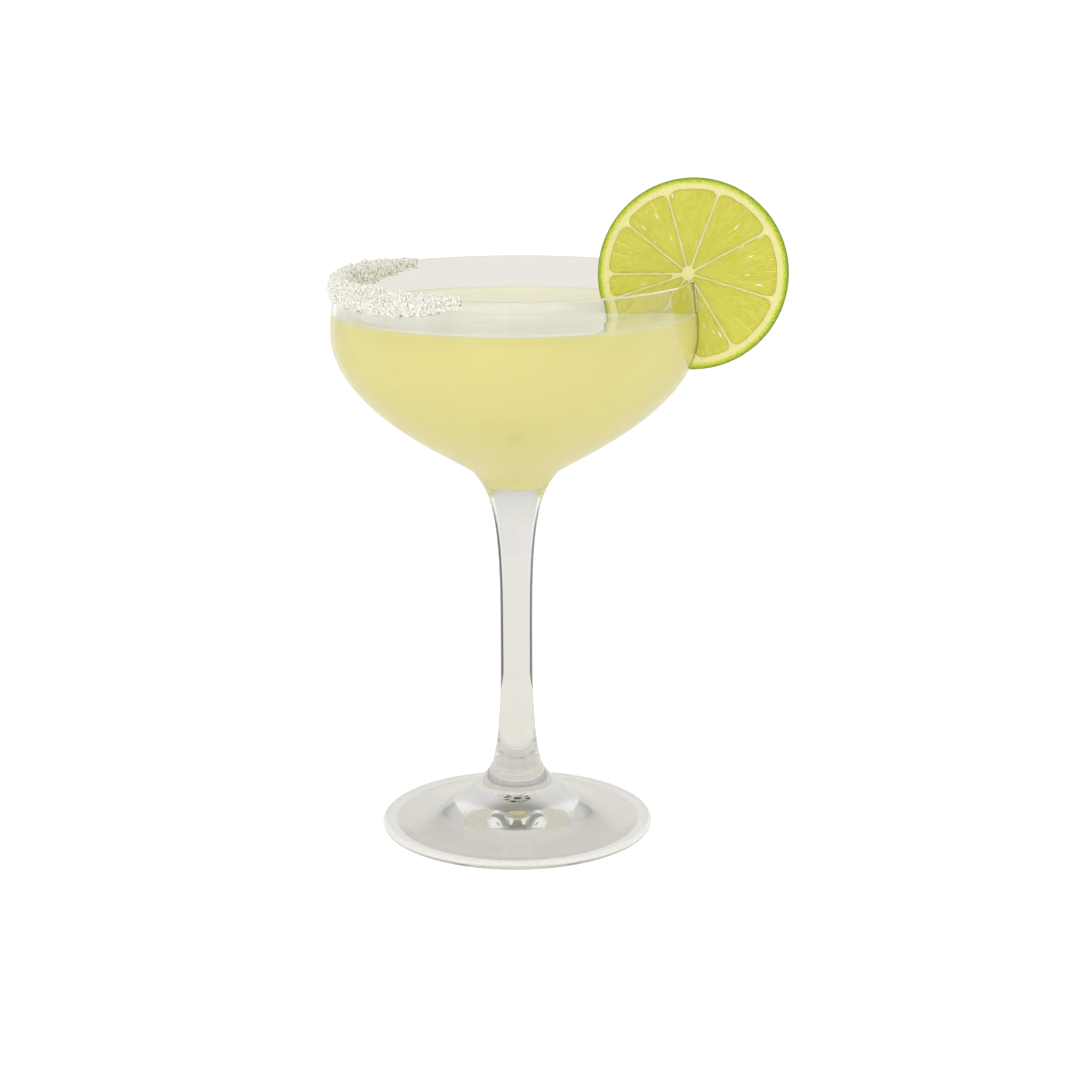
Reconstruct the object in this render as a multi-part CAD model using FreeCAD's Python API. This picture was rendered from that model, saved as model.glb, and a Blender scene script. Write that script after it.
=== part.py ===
"""A margarita: a stemmed coupe glass, the drink in it, a salted rim and a lime wheel.

Millimetres, +Z up. The origin is on the glass's axis, in the plane it stands on. Every round
piece is turned about Z from one outline of the bowl's wall, so the drink, the salt and the slit
in the lime all follow the same wall at a named distance.
"""
import FreeCAD
import Part
import Mesh
import math
import os

Vector = FreeCAD.Vector

# --- Glass ---------------------------------------------------------------------------------
GLASS_HEIGHT = 160.0        # foot to lip
WIDEST_RADIUS = 51.36       # outside, just below the lip
WIDEST_DROP = 14.9          # lip down to the widest ring
LIP_TURN_IN = 1.46          # the lip lies this far inside the widest ring
LIP_SLOPE = 0.2             # the wall's outward run over its drop, at the lip
BOWL_DEPTH = 54.1           # lip down to the shoulder, where the bowl turns into the stem
SHOULDER_RADIUS = 13.1      # outside, at the shoulder
BELLY = 20.7                # how far the bowl's side aims straight down before it turns in
CONE_ANGLE = 36.4           # slope of the bowl's underside at the shoulder, from level
CONE_REACH = 6.55           # how far that slope holds up the bowl's side
THROAT_ANGLE = 54.0         # slope just below the shoulder
THROAT_BEND = 1.3           # half length of the bend between the two slopes
THROAT_REACH = 6.2          # how far the steeper slope holds down the stem
WALL_RIM = 1.2              # wall at the lip
WALL_LOW = 1.9              # wall at the shoulder
FLOOR_BELOW_SHOULDER = 4.1  # lowest point inside
STEM_RADIUS = 4.6
STEM_NARROWS_TOP = 0.47     # share of the stem, from the shoulder down, over which it narrows
STEM_FLARES_LOW = 0.36      # share of the stem, from the flare up, over which it widens
FLARE_RADIUS = 8.5          # where the flare meets the foot's disc
FLARE_RISE = 16.0
FLARE_ANGLE = 50.0          # slope there, from level
FLARE_REACH_UP = 4.4        # how far that slope holds up the stem
FLARE_REACH_OUT = 9.0       # and out over the foot
FOOT_RADIUS = 39.2
FOOT_EDGE = 2.3             # thickness of the foot at its edge
FOOT_SLOPE = 3.0            # slope of the foot's top near its edge, in degrees
FOOT_RING = 3.0             # width of the flat ring that the glass stands on
FOOT_HOLLOW = 4.5           # how far the underside rises inside that ring

RIM_RADIUS = WIDEST_RADIUS - LIP_TURN_IN
LIP_HEIGHT = GLASS_HEIGHT - WALL_RIM / 2        # where the wall ends and the rounded lip starts
LIP_MIDDLE = RIM_RADIUS - WALL_RIM / 2
SHOULDER_HEIGHT = GLASS_HEIGHT - BOWL_DEPTH
FLOOR_HEIGHT = SHOULDER_HEIGHT - FLOOR_BELOW_SHOULDER

# --- Drink ---------------------------------------------------------------------------------
DRINK_DROP = 9.2            # lip down to the drink's surface

# --- Salt ----------------------------------------------------------------------------------
SALT_START = 126.0          # degrees round the lip from +X
SALT_END = 253.5
SALT_THICKNESS = 1.15       # on each side of the wall
SALT_DROP = 5.0             # how far it reaches down the wall
SALT_RAGGED = 1.4           # how much its lower edge wanders
SALT_CLEARANCE = 0.03       # from the glass
SALT_TAPER = 32.0           # degrees over which each end thins out
SALT_END_SHARE = 0.35       # of its full size, at the very ends
SALT_EDGE_SHARE = 0.4       # of its full thickness, at the lower edges
SALT_HOLLOWS = 0.7          # thickness in the hollows between its lumps
SALT_LUMPS = 0.6            # how much more it has on the lumps
SALT_STATIONS = 72          # steps round the lip
SALT_SIDE_STEPS = 4         # steps up each side of the wall
SALT_LIP_STEP = 45          # degrees between the points over the lip

# --- Lime wheel ----------------------------------------------------------------------------
LIME_RADIUS = 26.2
LIME_THICKNESS = 5.0
LIME_EDGE_BULGE = 0.25      # the rind stands this much prouder at mid thickness
LIME_EDGE_ROUND = 0.35
PEEL_THICKNESS = 3.2        # rind and pith
HUB_SHIFT = -1.15           # the core lies this far to the side of the middle
MEMBRANE_ANGLES = (29, 70, 106, 142, 181, 199, 237, 275, 302, 344)
MEMBRANE_THICKNESS = 0.6
SEGMENT_ROUND = 1.3         # corners of each segment
FLESH_SUNK = 0.3            # the flesh lies this much below the membranes
LIME_ANGLE = -7.5           # place round the lip
LIME_OVERHANG = 0.1         # the wheel's middle lies this far outside the middle of the wall
LIME_RISE = 1.5             # the wheel's middle above the lip
LIME_LEAN = 8.0             # top away from -Y
LIME_YAW = -6.5             # turn about Z, so that the wheel is square to the wall
SLIT_CLEARANCE = 0.15       # between the slit and the wall

MARGIN = 5.0                # how far a cutting tool runs past what it cuts


def bezier(*poles):
    curve = Part.BezierCurve()
    curve.setPoles([Vector(r, 0, z) for r, z in poles])
    return curve.toShape()


def line(start, end):
    return Part.makeLine(Vector(start[0], 0, start[1]), Vector(end[0], 0, end[1]))


def turned(edges):
    """Turn a closed outline in the XZ plane about Z."""
    face = Part.Face(Part.Wire(Part.__sortEdges__(edges)))
    solid = face.revolve(Vector(0, 0, 0), Vector(0, 0, 1), 360)
    return Part.Solid(solid) if solid.ShapeType != "Solid" else solid


def moved(point, angle, distance):
    """A point moved by a distance along a direction, given in degrees up from +R."""
    turn = math.radians(angle)
    return (point[0] + distance * math.cos(turn), point[1] + distance * math.sin(turn))


# --- The bowl's wall: one outline, shifted by a distance ------------------------------------
def wall_poles(rim_shift, low_shift):
    """Poles of the two curves from lip to shoulder, moved outwards by the given distances."""
    lip = (RIM_RADIUS + rim_shift, LIP_HEIGHT)
    quarter = WIDEST_DROP / 4
    lip_run = WIDEST_DROP / 10
    widest = (WIDEST_RADIUS + rim_shift, GLASS_HEIGHT - WIDEST_DROP)
    shoulder = moved((SHOULDER_RADIUS, SHOULDER_HEIGHT), CONE_ANGLE - 90, low_shift)
    upper = [lip, (lip[0] + LIP_SLOPE * lip_run, lip[1] - lip_run), (widest[0], widest[1] + quarter),
             widest]
    lower = [widest, (widest[0], widest[1] - BELLY), moved(shoulder, CONE_ANGLE, CONE_REACH), shoulder]
    return upper, lower


def outer_side(clearance=0.0):
    return wall_poles(clearance, clearance)


def inner_side(clearance=0.0):
    return wall_poles(-WALL_RIM - clearance, -WALL_LOW - clearance)


def lip_arc(clearance=0.0):
    """The rounded lip, from the inner wall over to the outer one."""
    half = WALL_RIM / 2 + clearance
    return Part.Arc(Vector(LIP_MIDDLE - half, 0, LIP_HEIGHT), Vector(LIP_MIDDLE, 0, LIP_HEIGHT + half),
                    Vector(LIP_MIDDLE + half, 0, LIP_HEIGHT)).toShape()


def floor_curve():
    """The rounded bottom inside, from the lower wall to the axis."""
    edge = inner_side()[1][-1]
    half = edge[0] / 2
    return bezier(edge, moved(edge, CONE_ANGLE + 180, half), (0.8 * half, FLOOR_HEIGHT),
                  (0, FLOOR_HEIGHT))


def cubic(poles, t):
    weights = ((1 - t) ** 3, 3 * t * (1 - t) ** 2, 3 * t * t * (1 - t), t ** 3)
    return tuple(sum(w * p[axis] for w, p in zip(weights, poles)) for axis in (0, 1))


def wall_radius(poles, height):
    """Radius of the upper wall's curve at a height, found by halving."""
    low, high = 0.0, 1.0
    for _ in range(30):
        middle = (low + high) / 2
        if cubic(poles, middle)[1] > height:
            low = middle
        else:
            high = middle
    return cubic(poles, low)[0]


# --- Glass ---------------------------------------------------------------------------------
def stem_edges(shoulder):
    """From the shoulder down the stem to the flare."""
    bend = moved(shoulder, CONE_ANGLE + 180, THROAT_BEND)
    throat = moved(bend, THROAT_ANGLE + 180, THROAT_BEND)
    flare = (FLARE_RADIUS, FLARE_RISE)
    length = SHOULDER_HEIGHT - FLARE_RISE
    top = (STEM_RADIUS, SHOULDER_HEIGHT - STEM_NARROWS_TOP * length)
    low = (STEM_RADIUS, FLARE_RISE + STEM_FLARES_LOW * length)
    return [
        bezier(shoulder, bend, throat),
        bezier(throat, moved(throat, THROAT_ANGLE + 180, THROAT_REACH),
               (STEM_RADIUS, (top[1] + 3 * throat[1]) / 4), top),
        line(top, low),
        bezier(low, (STEM_RADIUS, (low[1] + flare[1]) / 2),
               moved(flare, 180 - FLARE_ANGLE, FLARE_REACH_UP), flare),
    ]


def foot_edges():
    """From the flare out over the foot, round its edge, and back under it to the axis."""
    flare = (FLARE_RADIUS, FLARE_RISE)
    edge_middle = FOOT_RADIUS - FOOT_EDGE / 2
    reach = (FOOT_RADIUS - FLARE_RADIUS) / 2
    slope_rise = reach * math.tan(math.radians(FOOT_SLOPE))
    ring_in = edge_middle - FOOT_RING
    edge = Part.Arc(Vector(edge_middle, 0, FOOT_EDGE), Vector(FOOT_RADIUS, 0, FOOT_EDGE / 2),
                    Vector(edge_middle, 0, 0)).toShape()
    return [
        bezier(flare, moved(flare, -FLARE_ANGLE, FLARE_REACH_OUT),
               (edge_middle - reach, FOOT_EDGE + slope_rise), (edge_middle, FOOT_EDGE)),
        edge,
        line((edge_middle, 0), (ring_in, 0)),
        bezier((ring_in, 0), (2 * ring_in / 3, 0), (ring_in / 3, FOOT_HOLLOW), (0, FOOT_HOLLOW)),
    ]


def make_glass():
    outer_upper, outer_lower = outer_side()
    inner_upper, inner_lower = inner_side()
    edges = [floor_curve(), bezier(*inner_lower), bezier(*inner_upper), lip_arc(),
             bezier(*outer_upper), bezier(*outer_lower)]
    edges += stem_edges(outer_lower[-1]) + foot_edges()
    edges.append(line((0, FOOT_HOLLOW), (0, FLOOR_HEIGHT)))
    return turned(edges)


# --- Lime wheel ----------------------------------------------------------------------------
def lime_disc():
    """The whole slice, lying in XY about its middle, with a rounded rind edge."""
    half = LIME_THICKNESS / 2
    edge = Part.Arc(Vector(LIME_RADIUS - LIME_EDGE_BULGE, 0, -half), Vector(LIME_RADIUS, 0, 0),
                    Vector(LIME_RADIUS - LIME_EDGE_BULGE, 0, half)).toShape()
    disc = turned([line((0, -half), (LIME_RADIUS - LIME_EDGE_BULGE, -half)), edge,
                   line((LIME_RADIUS - LIME_EDGE_BULGE, half), (0, half)), line((0, half), (0, -half))])
    rounds = [e for e in disc.Edges if isinstance(e.Curve, Part.Circle)
              and e.Curve.Radius > LIME_RADIUS / 2]
    return disc.makeFillet(LIME_EDGE_ROUND, rounds)


def segment_outline(start, end):
    """One segment's face: a wedge from the core, inside the pith, narrowed and rounded."""
    hub = Vector(HUB_SHIFT, 0, 0)
    reach = 2 * LIME_RADIUS
    corners = [hub]
    for angle in (start, end):
        turn = math.radians(angle)
        corners.append(hub + Vector(reach * math.cos(turn), reach * math.sin(turn), 0))
    wedge = Part.Face(Part.makePolygon(corners + [hub]))
    flesh = Part.Face(Part.Wire(Part.makeCircle(LIME_RADIUS - PEEL_THICKNESS)))
    sector = wedge.common(flesh).Faces[0]
    narrowed = sector.makeOffset2D(-(MEMBRANE_THICKNESS / 2 + SEGMENT_ROUND))
    return narrowed.makeOffset2D(SEGMENT_ROUND).Faces[0]


def segment_outlines():
    following = MEMBRANE_ANGLES[1:] + (MEMBRANE_ANGLES[0] + 360,)
    return [segment_outline(start, end) for start, end in zip(MEMBRANE_ANGLES, following)]


def placed_on_rim(shape):
    """Stand a shape made lying in XY on the lip, square to the wall and leaning back."""
    stand = FreeCAD.Rotation(Vector(1, 0, 0), 90 - LIME_LEAN)
    yaw = FreeCAD.Rotation(Vector(0, 0, 1), LIME_YAW)
    radius = LIP_MIDDLE + LIME_OVERHANG
    turn = math.radians(LIME_ANGLE)
    middle = Vector(radius * math.cos(turn), radius * math.sin(turn), GLASS_HEIGHT + LIME_RISE)
    copy = shape.copy()
    copy.Placement = FreeCAD.Placement(middle, yaw.multiply(stand))
    return copy


def slit_tool():
    """The bowl's wall, thicker by the clearance on both sides and over the lip."""
    outer_upper, outer_lower = outer_side(SLIT_CLEARANCE)
    inner_upper, inner_lower = inner_side(SLIT_CLEARANCE)
    return turned([bezier(*inner_lower), bezier(*inner_upper), lip_arc(SLIT_CLEARANCE),
                   bezier(*outer_upper), bezier(*outer_lower), line(outer_lower[-1], inner_lower[-1])])


def make_lime_wheel():
    disc = lime_disc()
    half = LIME_THICKNESS / 2
    for outline in segment_outlines():
        for level, way in ((half, 1), (-half, -1)):
            pocket = outline.copy()
            pocket.translate(Vector(0, 0, level - way * FLESH_SUNK))
            disc = disc.cut(pocket.extrude(Vector(0, 0, way * MARGIN)))
    return placed_on_rim(disc).cut(slit_tool())


# --- Drink ---------------------------------------------------------------------------------
def make_drink():
    upper, lower = inner_side()
    inside = turned([line((0, LIP_HEIGHT), upper[0]), bezier(*upper), bezier(*lower), floor_curve(),
                     line((0, FLOOR_HEIGHT), (0, LIP_HEIGHT))])
    above = Part.makeCylinder(WIDEST_RADIUS + MARGIN, DRINK_DROP + MARGIN,
                              Vector(0, 0, GLASS_HEIGHT - DRINK_DROP))
    return inside.cut(above).cut(placed_on_rim(lime_disc()))


# --- Salt ----------------------------------------------------------------------------------
def lumps(angle, place):
    """An uneven value from 0 to 1 that changes round the lip and across the crust."""
    waves = (math.sin(0.61 * angle + 4.0 * place) + math.sin(1.37 * angle - 6.3 * place + 1.1)
             + math.sin(2.9 * angle + 9.0 * place + 2.3))
    return 0.5 + waves / 6


def crust_seat(low_out, low_in):
    """Points on the glass from the crust's lower edge outside, over the lip, to that inside.

    Each has the way out of the glass there. The lip's points stand off it a little, so that the
    straight facets between them clear its curve.
    """
    points = []
    for poles, low, way in ((outer_side()[0], low_out, 1), (inner_side()[0], low_in, -1)):
        side = []
        for step in range(SALT_SIDE_STEPS):
            height = low + (LIP_HEIGHT - low) * step / SALT_SIDE_STEPS
            side.append(((wall_radius(poles, height), height), (way, 0)))
        points.append(side)
    radius = WALL_RIM / 2 / math.cos(math.radians(SALT_LIP_STEP / 2))
    lip = []
    for angle in range(0, 181, SALT_LIP_STEP):
        way = (math.cos(math.radians(angle)), math.sin(math.radians(angle)))
        lip.append(((LIP_MIDDLE + radius * way[0], LIP_HEIGHT + radius * way[1]), way))
    return points[0] + lip + points[1][::-1]


def salt_section(angle):
    """One cross section of the crust, as (radius, height) points: over the outside, then back."""
    ends = min(1.0, SALT_END_SHARE + min(angle - SALT_START, SALT_END - angle) / SALT_TAPER)
    low_out, low_in = (LIP_HEIGHT - ends * (SALT_DROP - SALT_RAGGED * lumps(angle, side))
                       for side in (0, 3))
    seat = crust_seat(low_out, low_in)
    skin = []
    for index, (point, way) in enumerate(seat):
        place = index / (len(seat) - 1)
        edge = min(1.0, SALT_EDGE_SHARE + 5 * min(place, 1 - place))
        thick = SALT_THICKNESS * ends * edge * (SALT_HOLLOWS + SALT_LUMPS * lumps(angle, 2 * place))
        skin.append((point[0] + thick * way[0], point[1] + thick * way[1]))
    back = [(point[0] + SALT_CLEARANCE * way[0], point[1] + SALT_CLEARANCE * way[1])
            for point, way in seat]
    return skin + back[::-1]


def make_salt_rim():
    rings = []
    for station in range(SALT_STATIONS + 1):
        angle = SALT_START + (SALT_END - SALT_START) * station / SALT_STATIONS
        turn = math.radians(angle)
        rings.append([Vector(r * math.cos(turn), r * math.sin(turn), z) for r, z in salt_section(angle)])
    count = len(rings[0])
    triangles = []
    for near, far in zip(rings, rings[1:]):
        for i in range(count):
            j = (i + 1) % count
            triangles += [(near[i], near[j], far[j]), (near[i], far[j], far[i])]
    for ring, order in ((rings[0], -1), (rings[-1], 1)):
        for i in range(count // 2 - 1):
            a, b, c, d = ring[i], ring[i + 1], ring[count - 2 - i], ring[count - 1 - i]
            triangles += [(a, b, c)[::order], (a, c, d)[::order]]
    shape = Part.Shape()
    shape.makeShapeFromMesh(Mesh.Mesh(triangles).Topology, 0.001)
    solid = Part.Solid(Part.Shell(shape.Faces))
    if solid.Volume < 0:
        solid.reverse()
    return solid


def main():
    os.makedirs("parts", exist_ok=True)
    pieces = {
        "glass": make_glass(),
        "drink": make_drink(),
        "salt_rim": make_salt_rim(),
        "lime_wheel": make_lime_wheel(),
    }
    for name, shape in pieces.items():
        shape = shape.Solids[0]
        shape.exportStep(f"parts/{name}.step")
        box = shape.BoundBox
        print(f"{name}: valid {shape.isValid()}, "
              f"{shape.Volume / 1000:.2f} cm3, x {box.XMin:.1f} {box.XMax:.1f}, "
              f"y {box.YMin:.1f} {box.YMax:.1f}, z {box.ZMin:.1f} {box.ZMax:.1f}")


main()
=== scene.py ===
# %% [markdown]
# # A margarita in a coupe glass
#
# This lesson dresses a finished CAD model: a stemmed glass, the drink in it, a salted rim and a
# lime wheel. The CAD nodes fix every size and place. Blender adds what the eye looks for: clear
# glass with dark edges, a cloudy drink that glows, loose salt crystals and wet, translucent fruit.
# Everything is in metres, with the glass's foot at the origin and +Z up.

# %% Load the fixed frame
import bpy
import math
import random
from mathutils import Euler, Matrix, Vector, noise


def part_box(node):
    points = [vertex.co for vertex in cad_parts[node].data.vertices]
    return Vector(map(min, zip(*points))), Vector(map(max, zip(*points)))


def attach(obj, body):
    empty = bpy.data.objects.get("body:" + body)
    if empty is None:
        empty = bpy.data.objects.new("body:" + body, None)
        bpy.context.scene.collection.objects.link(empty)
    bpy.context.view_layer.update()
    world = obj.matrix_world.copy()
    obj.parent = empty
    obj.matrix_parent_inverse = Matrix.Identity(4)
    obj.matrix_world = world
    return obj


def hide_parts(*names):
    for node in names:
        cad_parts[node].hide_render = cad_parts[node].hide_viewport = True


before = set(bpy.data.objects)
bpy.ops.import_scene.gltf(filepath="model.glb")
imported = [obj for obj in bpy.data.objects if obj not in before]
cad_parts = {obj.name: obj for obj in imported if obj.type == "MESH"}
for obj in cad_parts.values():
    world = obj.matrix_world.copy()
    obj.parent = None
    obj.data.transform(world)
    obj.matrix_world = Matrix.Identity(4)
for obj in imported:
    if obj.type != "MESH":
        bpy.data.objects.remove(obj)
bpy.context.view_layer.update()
MM = 0.001
print("nodes:", sorted(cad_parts))

# %% Measure what the frame gives
glass_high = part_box("glass")[1]
drink_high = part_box("drink")[1]
wheel_low, wheel_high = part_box("lime_wheel")
LIP_HEIGHT = glass_high.z
DRINK_LEVEL = drink_high.z
print(f"lip at {LIP_HEIGHT / MM:.1f} mm, drink at {DRINK_LEVEL / MM:.1f} mm")

# %% [markdown]
# ## Small helpers
#
# Blender's operators work on whatever is selected, so each step first says what that is. `hold`
# puts everything down and picks one piece up. `select_where` picks vertices in edit mode by a test
# on their place, which is how a hand-picked selection is written in code.

# %% Pick a piece up, and pick vertices by their place
def hold(piece):
    if bpy.context.object and bpy.context.object.mode != "OBJECT":
        bpy.ops.object.mode_set(mode="OBJECT")
    bpy.ops.object.select_all(action="DESELECT")
    piece.select_set(True)
    bpy.context.view_layer.objects.active = piece


def select_where(piece, test):
    """Leave edit mode, select the vertices whose place passes the test, and go back in."""
    bpy.ops.object.mode_set(mode="EDIT")
    bpy.ops.mesh.select_mode(type="VERT")
    bpy.ops.mesh.select_all(action="DESELECT")
    bpy.ops.object.mode_set(mode="OBJECT")
    for vertex in piece.data.vertices:
        vertex.select = test(vertex.co)
    bpy.ops.object.mode_set(mode="EDIT")


def copy_of(node, name):
    """A copy of a CAD node as a new piece, with its loose triangles joined up."""
    piece = bpy.data.objects.new(name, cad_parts[node].data.copy())
    bpy.context.scene.collection.objects.link(piece)
    piece.data.materials.clear()
    hold(piece)
    bpy.ops.object.mode_set(mode="EDIT")
    bpy.ops.mesh.select_all(action="SELECT")
    bpy.ops.mesh.remove_doubles(threshold=0.001 * MM)
    bpy.ops.object.mode_set(mode="OBJECT")
    return piece


# %% [markdown]
# ## Helpers for shaders
#
# A finish is a tree of small nodes. `add` makes a node and sets its plain values, `wire` links
# several at once, and `smooth_step` eases a value from one level to another. `shade` turns the
# usual 0 to 255 colours into the linear numbers that a shader needs. `finish` starts a material
# from plain values only; nodes join it where something changes over the surface.

# %% Helpers for colours, nodes and finishes
def shade(red, green, blue):
    """A colour from 0-255 values to linear numbers."""
    linear = [c / 255 / 12.92 if c <= 10 else ((c / 255 + 0.055) / 1.055) ** 2.4
              for c in (red, green, blue)]
    return (*linear, 1)


def add(tree, kind, **values):
    """A shader node with some of its settings or sockets set."""
    node = tree.nodes.new("ShaderNode" + kind)
    for key, value in values.items():
        if hasattr(node, key):
            setattr(node, key, value)
        else:
            node.inputs[key.replace("_", " ")].default_value = value
    return node


def wire(tree, *pairs):
    """Link (node, output) to (node, input) for each pair."""
    for start, out, end, into in pairs:
        tree.links.new(start.outputs[out], end.inputs[into])


def combine(tree, operation, first, second, clamped=False):
    """A math node. Each of first and second is a number or a (node, output) pair."""
    node = add(tree, "Math", operation=operation, use_clamp=clamped)
    for place, value in enumerate((first, second)):
        if isinstance(value, tuple):
            wire(tree, (*value, node, place))
        else:
            node.inputs[place].default_value = value
    return node


def smooth_step(tree, source, output, low, high, low_out=0.0, high_out=1.0):
    """One output eased from low_out to high_out between two limits."""
    node = add(tree, "MapRange", interpolation_type="SMOOTHSTEP", From_Min=low, From_Max=high,
               To_Min=low_out, To_Max=high_out)
    wire(tree, (source, output, node, "Value"))
    return node


MIX_SHARE, MIX_FIRST, MIX_SECOND, MIX_RESULT = 0, 6, 7, 2


def mix_colours(tree, first, second, **values):
    """A node that mixes two colours. Give None where a wire will bring the colour."""
    node = add(tree, "Mix", data_type="RGBA", **values)
    for place, colour in ((MIX_FIRST, first), (MIX_SECOND, second)):
        if colour:
            node.inputs[place].default_value = colour
    return node


def finish(name, **values):
    """A new material. Values are the Principled shader's sockets, with _ for a space."""
    material = bpy.data.materials.new(name)
    material.use_nodes = True
    shader = material.node_tree.nodes["Principled BSDF"]
    for socket, value in values.items():
        shader.inputs[socket.replace("_", " ")].default_value = value
    return material


print("shader helpers:", [f.__name__ for f in (shade, add, wire, combine, smooth_step, finish)])

# %% [markdown]
# ## Camera
#
# The view stands a little above the rim and looks down at the middle of the stem. A long lens
# keeps the bowl's ellipses shallow and the sides of the stem parallel.

# %% Set the camera
CAMERA_PLACE = Vector((0, -0.6584, 0.2459))
CAMERA_DOWN = math.radians(13.743)
CAMERA_PAN = math.radians(0.594)
CAMERA_ROLL = math.radians(-0.135)
LENS = 79.36
SENSOR_WIDTH = 36
camera_data = bpy.data.cameras.new("camera")
camera_data.lens = LENS
camera_data.sensor_width = SENSOR_WIDTH
camera = bpy.data.objects.new("camera", camera_data)
bpy.context.scene.collection.objects.link(camera)
turn = (Matrix.Rotation(-CAMERA_PAN, 4, "Z") @ Matrix.Rotation(math.pi / 2 - CAMERA_DOWN, 4, "X")
        @ Matrix.Rotation(CAMERA_ROLL, 4, "Z"))
camera.matrix_world = Matrix.Translation(CAMERA_PLACE) @ turn
bpy.context.scene.camera = camera
bpy.context.scene.view_settings.view_transform = "Standard"
print("camera at", [round(v, 3) for v in camera.location])

# %% [markdown]
# ## Light for clear glass
#
# Glass has no colour of its own: it shows what it bends and mirrors. So the room has two looks.
# To the eye, and as light on solid things, it is bright and white. Seen through glass its walls
# are a light grey, and it is darker overhead and behind the camera, which draws the foot's curves.
# Two dark cards stand close at the glass's sides, and the stem's edges pick them up as thin dark
# lines. This is the bright-field way to light glass.

# %% Make the room
BACKDROP = 1.1
ROOM_LIGHT = 1.0
FRONT_LIGHT = 0.5
FRONT_FULL = -0.8
OVERHEAD_SHARE = 0.7
WALL_SHARE = 0.8
CEILING_SHARE = 0.42
CEILING_FROM, CEILING_FULL = 0.45, 0.75
BEHIND_CAMERA_SHARE = 0.3
BEHIND_FROM, BEHIND_FULL = -0.35, -0.75
ROOM_COLOUR = (1.0, 0.995, 0.98, 1)
world = bpy.data.worlds.new("pale room")
bpy.context.scene.world = world
world.use_nodes = True
room = world.node_tree
where = add(room, "TexCoord")
split = add(room, "SeparateXYZ")
wire(room, (where, "Generated", split, 0))
front = smooth_step(room, split, "Y", 0.0, FRONT_FULL, ROOM_LIGHT, ROOM_LIGHT + FRONT_LIGHT)
overhead = add(room, "MapRange", To_Min=1.0, To_Max=OVERHEAD_SHARE)
wire(room, (split, "Z", overhead, "Value"))
as_light = combine(room, "MULTIPLY", (front, "Result"), (overhead, "Result"))
ceiling = smooth_step(room, split, "Z", CEILING_FROM, CEILING_FULL, WALL_SHARE, CEILING_SHARE)
behind_camera = smooth_step(room, split, "Y", BEHIND_FROM, BEHIND_FULL, 1.0, BEHIND_CAMERA_SHARE)
darkest = combine(room, "MINIMUM", (ceiling, "Result"), (behind_camera, "Result"))
ray = add(room, "LightPath")
in_glass = combine(room, "SUBTRACT", (ray, "Is Singular Ray"), (ray, "Diffuse Depth"), clamped=True)
glass_share = add(room, "Mix")
glass_share.inputs["A"].default_value = 1.0
wire(room, (in_glass, "Value", glass_share, "Factor"), (darkest, "Value", glass_share, "B"))
unseen = combine(room, "MULTIPLY", (as_light, "Value"), (glass_share, "Result"))
strength = add(room, "Mix")
strength.inputs["B"].default_value = BACKDROP
background = room.nodes["Background"]
background.inputs["Color"].default_value = ROOM_COLOUR
wire(room, (ray, "Is Camera Ray", strength, "Factor"), (unseen, "Value", strength, "A"),
     (strength, "Result", background, "Strength"))
print("room light", ROOM_LIGHT, "and", ROOM_LIGHT + FRONT_LIGHT, "in front")

# %% Lay the floor: light grey in the glass, white to the eye
FLOOR_SIZE = 60.0
FLOOR_WHITE = 0.9
FLOOR_PAPER = (0.92, 0.905, 0.875, 1)
bpy.ops.object.select_all(action="DESELECT")
bpy.ops.mesh.primitive_plane_add(size=FLOOR_SIZE, location=(0, 0, 0))
floor = bpy.context.object
floor.name = "floor"
floor_finish = finish("pale floor", Base_Color=FLOOR_PAPER, Roughness=0.9, Specular_IOR_Level=0.0)
tree = floor_finish.node_tree
glow = add(tree, "Emission", Strength=BACKDROP)
ray = add(tree, "LightPath")
either = combine(tree, "MAXIMUM", (ray, "Is Camera Ray"), (ray, "Diffuse Depth"))
share = combine(tree, "MULTIPLY", (either, "Value"), FLOOR_WHITE)
mix = add(tree, "MixShader")
wire(tree, (share, "Value", mix, "Fac"), (tree.nodes["Principled BSDF"], "BSDF", mix, 1),
     (glow, "Emission", mix, 2), (mix, "Shader", tree.nodes["Material Output"], "Surface"))
floor.data.materials.append(floor_finish)
print("floor:", FLOOR_SIZE, "m")

# %% Stand a soft-edged dark card on each side
CARD_HEIGHT = 0.16
CARD_FADE = 0.35


def dark_card(name, x, y, width, darkest):
    """A card along Y, seen only through glass: dark low in the middle, then white."""
    bpy.ops.object.select_all(action="DESELECT")
    bpy.ops.mesh.primitive_plane_add(size=1, location=(x, y, CARD_HEIGHT / 2),
                                     rotation=(math.pi / 2, 0, math.pi / 2))
    card = bpy.context.object
    card.name = name
    card.scale = (width, CARD_HEIGHT, 1)
    card.visible_camera = card.visible_shadow = card.visible_diffuse = False
    material = bpy.data.materials.new(name)
    material.use_nodes = True
    tree = material.node_tree
    tree.nodes.remove(tree.nodes["Principled BSDF"])
    place = add(tree, "TexCoord")
    from_foot = add(tree, "Mapping", Scale=(2, 1, 1), Location=(0, 0.5, 0))
    gradient = add(tree, "TexGradient", gradient_type="SPHERICAL")
    wire(tree, (place, "Object", from_foot, "Vector"), (from_foot, "Vector", gradient, "Vector"))
    fade = smooth_step(tree, gradient, "Fac", 0.0, CARD_FADE, ROOM_LIGHT, darkest)
    ray = add(tree, "LightPath")
    mirrored = combine(tree, "MULTIPLY", (ray, "Glossy Depth"), WALL_SHARE, clamped=True)
    indirect = combine(tree, "MAXIMUM", (ray, "Diffuse Depth"), (mirrored, "Value"))
    lighter = combine(tree, "MAXIMUM", (fade, "Result"), (indirect, "Value"))
    glow = add(tree, "Emission")
    wire(tree, (lighter, "Value", glow, "Strength"),
         (glow, "Emission", tree.nodes["Material Output"], "Surface"))
    card.data.materials.append(material)
    print(name, "at x", x)


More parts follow.
